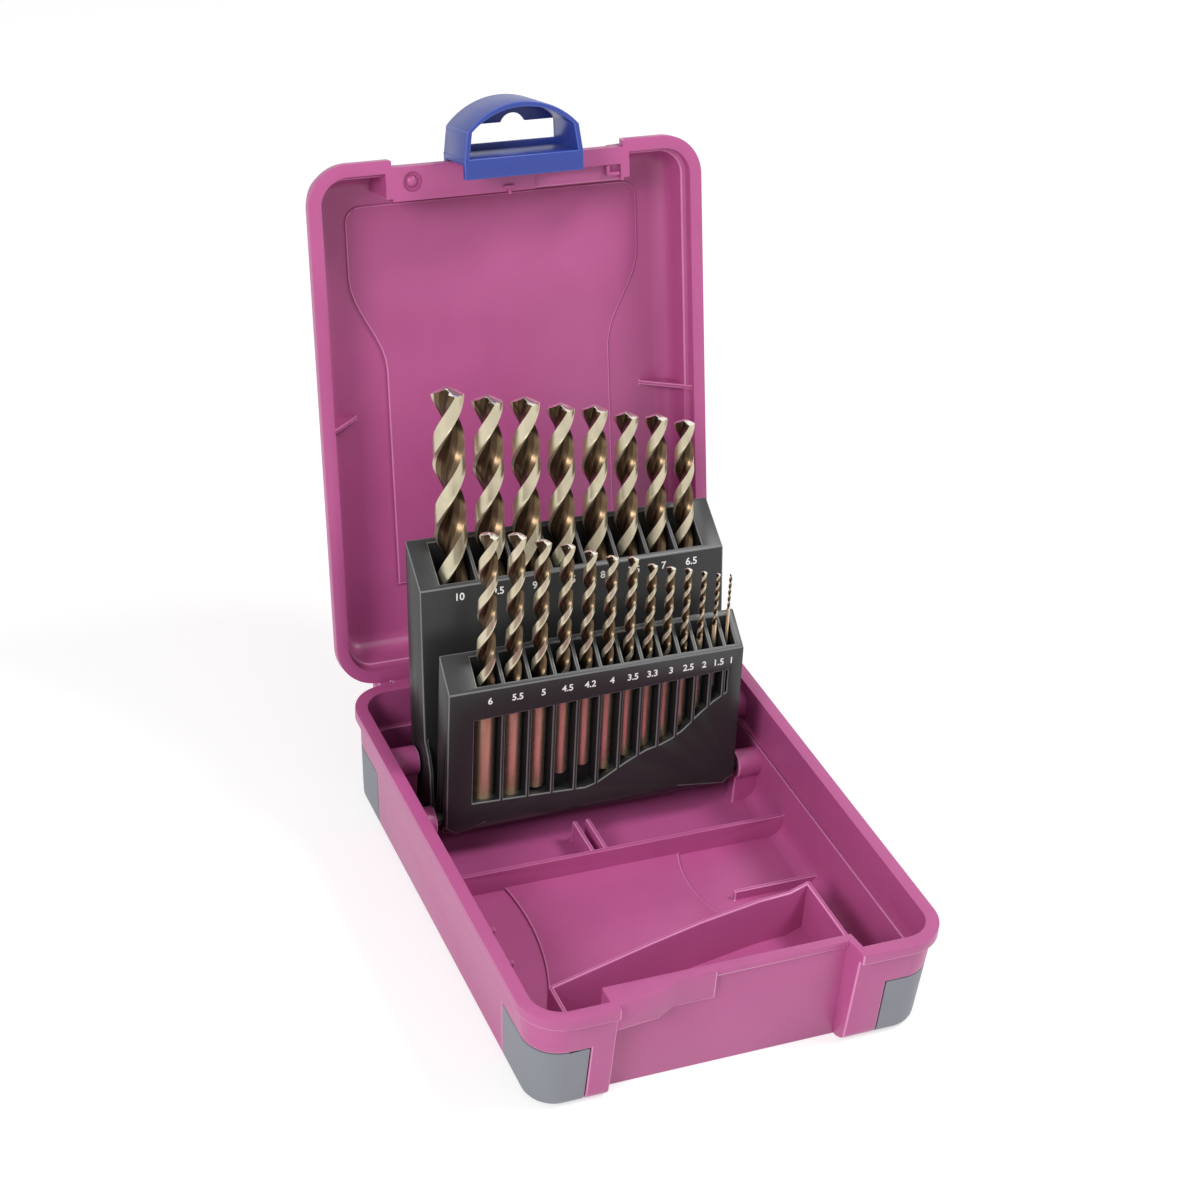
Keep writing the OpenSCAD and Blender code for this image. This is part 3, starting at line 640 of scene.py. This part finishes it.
@dataclass
class Rack:
    """One rack with its pivot pins and its size numbers."""

    row: Row
    face: float
    number_height: float
    number_size: float
    foot: float
    thickness: float
    half_width: float
    edge: float = 0.32
    chamfer: float = 3.6
    pocket_inset: float = 0.5
    print_height: float = 0.03
    print_weight: float = 0.06

    def build(self, bits: "list[TwistDrill]") -> None:
        """Build the rack and print its numbers.

        Args:
            bits: The bits that stand in it.
        """
        name = self.row.body
        rack = twin(name, f"{name}_moulding")
        own = self.row.matrix.inverted()
        round_edges(rack, self.chamfer, lambda end: self._at_foot(own @ end), segments=2)
        soften(rack, self.edge, highlighted=(BLACK, BLACK_EDGE_HIGHLIGHT))
        # Faces inside the rack that don't look up take the near-black copy, painted shade in the pockets; the
        # outer faces keep the lighter, lit black.
        rack.data.materials.append(MATERIALS[POCKET_SHADE.name])
        for face in rack.data.polygons:
            if face.material_index == 0 and self._in_pocket(own @ face.center, face.normal):
                face.material_index = 2
        dress(rack, name, BLACK, name)
        stem = name.split("_")[0]
        for side in ("left", "right"):
            refinish(f"{stem}_pivot_pin_{side}", BLACK)
        for bit in bits:
            self.print_number(bit)

    def _at_foot(self, end: Vector) -> bool:
        """Return whether a place in the rack's own axes is on the front face's lower edge."""
        return abs(end.y + self.face * MM) < 0.05 * MM and abs(end.z - self.foot * MM) < 0.05 * MM

    def _in_pocket(self, middle: Vector, normal: Vector) -> bool:
        """Return whether a face lies inside the rack and doesn't look up."""
        inset = self.pocket_inset * MM
        deep = -self.face * MM + inset < middle.y < (self.thickness - self.face) * MM - inset
        return deep and abs(middle.x) < self.half_width * MM - inset and normal.z < 0.5

    def print_number(self, bit: "TwistDrill") -> None:
        """Print a bit's size on the rack's front face.

        Args:
            bit: The bit above the number.
        """
        bpy.ops.object.select_all(action="DESELECT")
        bpy.ops.object.text_add()
        number = bpy.context.object
        number.name = f"number_{bit.node}"
        number.data.body = f"{bit.diameter:g}"
        number.data.size = self.number_size * MM
        number.data.extrude = self.print_height * MM
        number.data.offset = self.print_weight * MM
        number.data.align_x = "CENTER"
        take(number)
        bpy.ops.object.convert(target="MESH")
        upright = Matrix.Rotation(math.radians(90), 4, "X")
        pivot = self.row.matrix
        across = bit.middle() - pivot.translation.x
        spot = Matrix.Translation(Vector((across, -self.face * MM, self.number_height * MM)))
        place(bpy.context.object, pivot @ spot @ upright)
        dress(bpy.context.object, self.row.body, WHITE)


@dataclass
class TwistDrill:
    """One twist drill: a plain shank, two flutes and a ground point."""

    node: str
    row: Row
    diameter: float
    overall: float
    flute: float
    helix: float = 35.0
    point_angle: float = 130.0
    tip_phase: float = -62.0
    sides: int = 48
    blank_share: float = 1.03
    land_from: float = 0.9
    flute_from: float = 0.55

    def middle(self) -> float:
        """Return the bit's place along the row, in metres."""
        low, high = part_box(self.node)
        return (low.x + high.x) / 2

    def build(self, section: bpy.types.Object) -> None:
        """Build and dress the bit.

        Args:
            section: The cross-section of the fluted part, at a radius of 1 m.
        """
        radius = self.diameter / 2 * MM
        start = (self.overall - self.flute) * MM
        tip = radius / math.tan(math.radians(self.point_angle / 2))
        top = self.overall * MM
        turns = self.flute * math.tan(math.radians(self.helix)) / (math.pi * self.diameter)
        fluted = self._twist(section, radius, start, top + 0.2 * MM - start, turns)
        point = tip * self.blank_share
        blank = self._blank(radius * self.blank_share, start - 1 * MM, top - point, point)
        finish_with(fluted, "BOOLEAN", operation="INTERSECT", object=blank, solver="EXACT")
        bpy.data.objects.remove(blank)
        shank = self._shank(radius, start)
        take(fluted)
        shank.select_set(True)
        bpy.ops.object.join()
        smooth(fluted, 34.0)
        self._finish(fluted, radius, start, top - tip)
        highest = max((vertex.co for vertex in frame["nodes"][self.node].data.vertices), key=lambda co: co.z)
        axis = Vector((0.0, math.sin(self.row.lean), math.cos(self.row.lean)))
        foot = Vector((self.middle(), highest.y, highest.z)) - axis * top
        place(fluted, Matrix.Translation(foot) @ Matrix.Rotation(-self.row.lean, 4, "X"))
        dress(fluted, self.row.body, LAND, self.node)

    def _twist(self, section: bpy.types.Object, radius: float, start: float, length: float,
               turns: float) -> bpy.types.Object:
        """Wind the cross-section up the helix.

        Args:
            section: The cross-section at a radius of 1 m.
            radius: The bit's radius.
            start: The height where the flutes start.
            length: The length wound.
            turns: Full turns over the flute length.

        Returns:
            The closed fluted bar.
        """
        piece = bpy.data.objects.new(f"bit_{self.node}", section.data.copy())
        bpy.context.scene.collection.objects.link(piece)
        angle = turns * 2 * math.pi * length / (self.flute * MM)
        turned = math.radians(self.tip_phase) - angle
        piece.data.transform(Matrix.Translation((0, 0, start)) @ Matrix.Rotation(turned, 4, "Z")
                             @ Matrix.Diagonal((radius, radius, 1, 1)))
        steps = max(24, round(math.degrees(angle) / 9))
        finish_with(piece, "SCREW", axis="Z", angle=angle, screw_offset=length, steps=steps,
                    render_steps=steps, iterations=1, use_normal_calculate=True)
        with editing(piece, everything=True):
            bpy.ops.mesh.fill_holes(sides=0)
            bpy.ops.mesh.select_all(action="SELECT")
            bpy.ops.mesh.normals_make_consistent(inside=False)
        return piece

    def _blank(self, radius: float, low: float, high: float, tip: float) -> bpy.types.Object:
        """Return a round blank with a ground point, which trims the fluted bar."""
        bpy.ops.object.select_all(action="DESELECT")
        bpy.ops.mesh.primitive_cylinder_add(vertices=self.sides, radius=radius, depth=high - low,
                                            location=(0, 0, (high + low) / 2))
        blank = bpy.context.object
        bpy.ops.object.transform_apply(location=True)
        with editing(blank) as mesh:
            pick_faces(blank, mesh, lambda middle, normal: normal.z > 0.9)
            bpy.ops.mesh.extrude_region_move(TRANSFORM_OT_translate={"value": (0, 0, tip)})
            bpy.ops.mesh.merge(type="CENTER")
        return blank

    def _shank(self, radius: float, top: float) -> bpy.types.Object:
        """Return the plain shank with its bevelled end."""
        bpy.ops.object.select_all(action="DESELECT")
        bpy.ops.mesh.primitive_cylinder_add(vertices=self.sides, radius=radius, depth=top,
                                            location=(0, 0, top / 2))
        shank = bpy.context.object
        bpy.ops.object.transform_apply(location=True)
        with editing(shank) as mesh:
            pick_faces(shank, mesh, lambda middle, normal: normal.z < -0.9)
            bpy.ops.mesh.bevel(offset=radius * 0.12, segments=2, affect="EDGES")
        return shank

    def _finish(self, piece: bpy.types.Object, radius: float, start: float, shoulder: float) -> None:
        """Give lands, flutes, point and shank their steel, with painted shade in the flutes and their roots
        and painted highlight on the point and shank.

        Args:
            piece: The upright bit.
            radius: Its radius.
            start: The height where the flutes start.
            shoulder: The height where the point starts.
        """
        finishes = (LAND, FLUTE_SHADE, POINT_GLINT, SHANK_LIT, ROOT_SHADE)
        piece.data.materials.clear()
        for finish in finishes:
            piece.data.materials.append(MATERIALS[finish.name])
        # Flutes go darker with depth as painted shade; the point's upward faces and the shank take lighter
        # steel as painted highlight.
        for face in piece.data.polygons:
            out = math.hypot(face.center.x, face.center.y)
            if face.center.z > shoulder - AT_HEIGHT and face.normal.z > 0.25:
                finish = POINT_GLINT
            elif face.center.z < start:
                finish = SHANK_LIT
            elif out > radius * self.land_from:
                finish = LAND
            else:
                finish = FLUTE_SHADE if out > radius * self.flute_from else ROOT_SHADE
            face.material_index = finishes.index(finish)


@dataclass
class FluteSection:
    """Cross-section of the fluted part: two lands with a margin each, and two rounded flutes."""

    sides: int = 48
    land: float = 64.0
    margin: float = 11.0
    relief: float = 0.955
    core: float = 0.26

    def share(self, angle: float) -> float:
        """Return the radius at an angle as a share of the full one.

        Args:
            angle: Degrees round the bit.

        Returns:
            The share of the radius.
        """
        turned = angle % 180
        if turned < self.land - self.margin:
            return self.relief
        if turned < self.land + 0.1:
            return 1.0
        wave = math.sin(math.pi * (turned - self.land) / (180 - self.land))
        return 1 - (1 - self.core) * wave ** 0.6

    def build(self) -> bpy.types.Object:
        """Return the section at a radius of 1 m, drawn in from a circle."""
        bpy.ops.object.select_all(action="DESELECT")
        bpy.ops.mesh.primitive_circle_add(vertices=self.sides, radius=1.0, fill_type="NOTHING")
        section = bpy.context.object
        with editing(section) as mesh:
            for step in range(self.sides // 2):
                share = self.share(360 * step / self.sides)
                if share < 1:
                    self._draw_in(section, mesh, 360 * step / self.sides, share)
        return section

    def _draw_in(self, section: bpy.types.Object, mesh: bmesh.types.BMesh, angle: float,
                 share: float) -> None:
        """Scale the two opposite points at an angle towards the middle."""
        bpy.ops.mesh.select_all(action="DESELECT")
        for vertex in mesh.verts:
            found = math.degrees(math.atan2(vertex.co.y, vertex.co.x)) % 180
            if min(abs(found - angle), abs(found - 180 - angle), abs(found + 180 - angle)) < 1:
                vertex.select_set(True)
        bmesh.update_edit_mesh(section.data)
        bpy.ops.transform.resize(value=(share, share, 1), center_override=(0, 0, 0))


REAR_SIZES = ((10.0, 133, 87), (9.5, 125, 81), (9.0, 125, 81), (8.5, 117, 75), (8.0, 117, 75),
              (7.5, 109, 69), (7.0, 109, 69), (6.5, 101, 63))
FRONT_SIZES = ((6.0, 93, 57), (5.5, 93, 57), (5.0, 86, 52), (4.5, 80, 47), (4.2, 75, 43), (4.0, 75, 43),
               (3.5, 70, 39), (3.3, 65, 36), (3.0, 61, 33), (2.5, 57, 30), (2.0, 49, 24), (1.5, 40, 18),
               (1.0, 34, 12))


def bits_of(row: Row, sizes: tuple) -> list[TwistDrill]:
    """Return the bits of one row.

    Args:
        row: The row.
        sizes: Diameter, overall length and flute length of each bit.

    Returns:
        The bits, from the left.
    """
    return [TwistDrill(f"drill_{d:.1f}".replace(".", "_"), row, d, overall, flute)
            for d, overall, flute in sizes]


@dataclass
class Studio:
    """A pale floor, soft light and the camera."""

    azimuth: float = -24.84
    elevation: float = 32.31
    roll: float = 4.85
    distance: float = 761.9
    target: tuple[float, float, float] = (-6.0, 24.1, 96.0)
    lens: float = 77.32
    ambient: float = 0.5
    floor_glow: float = 0.45
    floor_emission: float = 1.3
    floor_size: float = 9.0
    floor_drop: float = 0.02

    def camera(self) -> None:
        """Set the camera at the picture's viewing angle."""
        turn, rise, roll = (math.radians(v) for v in (self.azimuth, self.elevation, self.roll))
        back = Vector((math.sin(turn) * math.cos(rise), -math.cos(turn) * math.cos(rise), math.sin(rise)))
        right = Vector((0, 0, 1)).cross(back).normalized()
        up = back.cross(right)
        across = right * math.cos(roll) + up * math.sin(roll)
        above = up * math.cos(roll) - right * math.sin(roll)
        data = bpy.data.cameras.new("camera")
        data.lens = self.lens
        data.sensor_width = 36.0
        data.clip_start = 0.05
        data.clip_end = 20.0
        eye = bpy.data.objects.new("camera", data)
        bpy.context.scene.collection.objects.link(eye)
        spot = (Vector(self.target) + back * self.distance) * MM
        turned = Matrix((across, above, back)).transposed().to_4x4()
        eye.matrix_world = Matrix.Translation(spot) @ turned
        bpy.context.scene.camera = eye

    def floor(self) -> None:
        """Lay the pale floor."""
        bpy.ops.object.select_all(action="DESELECT")
        bpy.ops.mesh.primitive_plane_add(size=self.floor_size, location=(0, 0, -self.floor_drop * MM))
        floor = bpy.context.object
        floor.name = "studio_floor"
        shader = Shader("floor_paper")
        seen = self._seen(shader)
        paper = shader.node("ShaderNodeBsdfDiffuse", {}, {"Color": (0.93, 0.93, 0.93, 1.0)})
        glow = shader.node("ShaderNodeEmission", {}, {"Color": (1, 1, 1, 1), "Strength": self.floor_emission})
        mixed = shader.node("ShaderNodeMixShader", {}, {0: seen * self.floor_glow, 1: paper, 2: glow})
        shader.tree.links.new(mixed.socket, shader.output.inputs["Surface"])
        floor.data.materials.append(shader.material)

    @staticmethod
    def _seen(shader: "Shader") -> Value:
        """Return 1 for rays from the camera, from gloss and through glass."""
        rays = [shader.node("ShaderNodeLightPath", {}, {}, name)
                for name in ("Is Camera Ray", "Is Glossy Ray", "Is Transmission Ray")]
        return rays[0].greater(rays[1]).greater(rays[2])

    def world(self) -> None:
        """Fill the room with soft white."""
        world = bpy.data.worlds.new("studio")
        bpy.context.scene.world = world
        world.use_nodes = True
        shader = Shader.__new__(Shader)
        shader.tree = world.node_tree
        shader.tree.nodes.clear()
        shader.output = shader.tree.nodes.new("ShaderNodeOutputWorld")
        strength = self._seen(shader) * (1 - self.ambient) + self.ambient
        sky = shader.node("ShaderNodeBackground", {}, {"Color": (1, 1, 1, 1), "Strength": strength})
        shader.tree.links.new(sky.socket, shader.output.inputs["Surface"])

    def lamp(self, name: str, spot: tuple[float, float, float], size: float, power: float) -> None:
        """Hang one soft lamp that faces the case.

        Args:
            name: The lamp's name.
            spot: Its place in metres.
            size: Its width in metres.
            power: Its power in watts.
        """
        data = bpy.data.lights.new(name, "AREA")
        data.shape = "DISK"
        data.size = size
        data.energy = power
        lamp = bpy.data.objects.new(name, data)
        bpy.context.scene.collection.objects.link(lamp)
        lamp.location = spot
        lamp.rotation_euler = (Vector((0, 0.03, 0.08)) - Vector(spot)).to_track_quat("-Z", "Y").to_euler()

    def build(self) -> None:
        """Set up the whole studio."""
        bpy.context.scene.view_settings.view_transform = "Standard"
        self.world()
        self.floor()
        self.lamp("left_lamp", (-0.95, -0.6, 0.8), 0.5, 9.5)
        self.lamp("right_lamp", (0.8, -0.3, 1.25), 0.45, 10.5)
        self.camera()


def main() -> None:
    """Build the case and its studio."""
    logging.basicConfig(level=logging.INFO, format="%(name)s: %(message)s")
    mix_finishes()
    rear = bits_of(Row.REAR, REAR_SIZES)
    front = bits_of(Row.FRONT, FRONT_SIZES)
    CaseShells().build()
    Latch().build()
    Rack(Row.REAR, face=6.5, number_height=54.0, number_size=3.3, foot=-22.0, thickness=13.0,
         half_width=50.4).build(rear)
    Rack(Row.FRONT, face=5.25, number_height=41.9, number_size=3.1, foot=-4.2, thickness=9.5,
         half_width=48.8).build(front)
    section = FluteSection().build()
    for bit in rear + front:
        bit.build(section)
    bpy.data.objects.remove(section)
    Studio().build()


if __name__ == "__main__":
    main()
